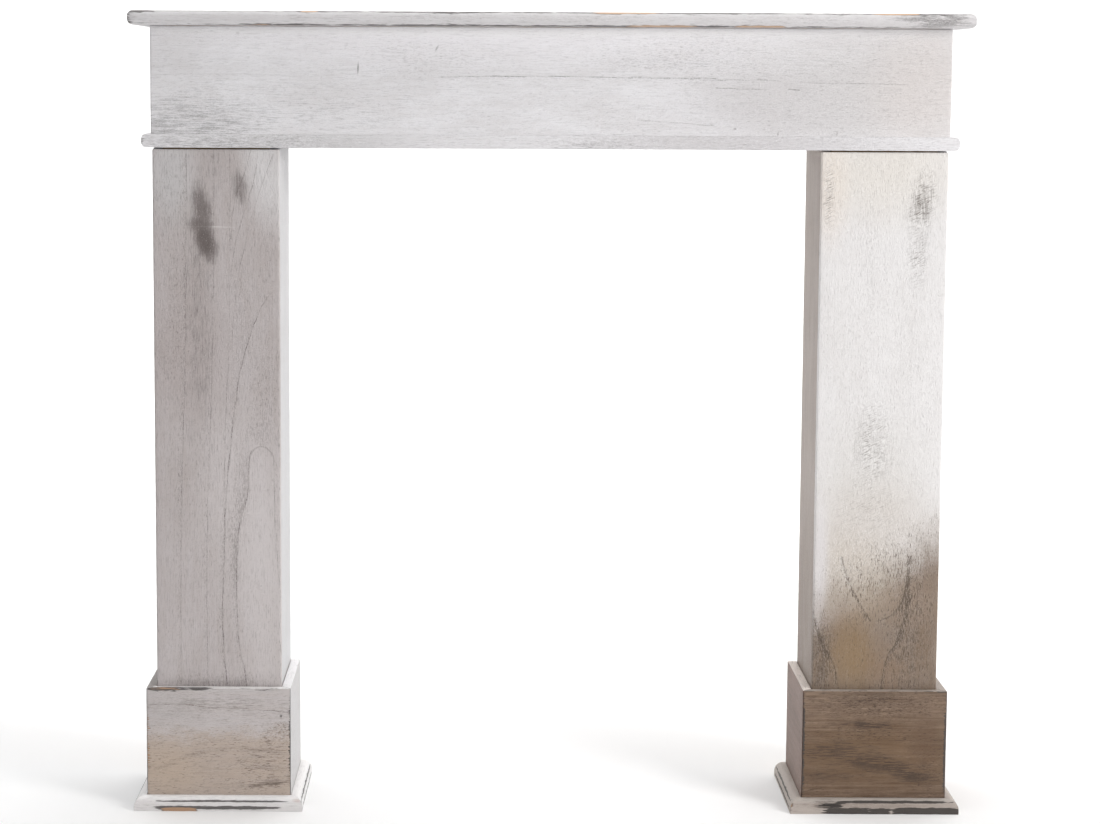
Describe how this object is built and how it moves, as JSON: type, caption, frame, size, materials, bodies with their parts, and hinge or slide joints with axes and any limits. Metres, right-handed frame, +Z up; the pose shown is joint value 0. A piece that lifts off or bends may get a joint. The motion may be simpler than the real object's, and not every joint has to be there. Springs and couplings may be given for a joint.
{
  "type": "fireplace mantelpiece",
  "caption": "Whitewashed wooden mantelpiece: bullnosed shelf on a plain frieze box, rounded necking board, box legs, mitred plinths and base mouldings, open at the back.",
  "frame": {"origin": "middle of the footprint, on the floor", "axes": "+X to the right as seen from the front, +Y back toward the wall, +Z up; the frieze faces -Y"},
  "size_m": [1.0532, 0.2002, 1.0126],
  "materials": {
    "whitewash": "matte whitewash over grained boards, worn grey at the edges",
    "grey_whitewash": "matte greyed whitewash, grain and pores showing through",
    "thin_whitewash": "matte thin whitewash with the brown wood showing through"
  },
  "bodies": {
    "root": {"shelf": "whitewash", "necking_board": "whitewash", "frieze_face": "whitewash", "frieze_left_return": "whitewash", "frieze_right_return": "whitewash", "left_leg_face": "grey_whitewash", "left_leg_inner_side": "grey_whitewash", "left_leg_outer_side": "grey_whitewash", "left_plinth_face": "thin_whitewash", "left_plinth_inner_side": "thin_whitewash", "left_plinth_outer_side": "thin_whitewash", "left_base_face": "grey_whitewash", "left_base_inner_side": "grey_whitewash", "left_base_outer_side": "grey_whitewash", "right_leg_face": "grey_whitewash", "right_leg_inner_side": "grey_whitewash", "right_leg_outer_side": "grey_whitewash", "right_plinth_face": "thin_whitewash", "right_plinth_inner_side": "thin_whitewash", "right_plinth_outer_side": "thin_whitewash", "right_base_face": "grey_whitewash", "right_base_inner_side": "grey_whitewash", "right_base_outer_side": "grey_whitewash"}
  },
  "joints": []
}
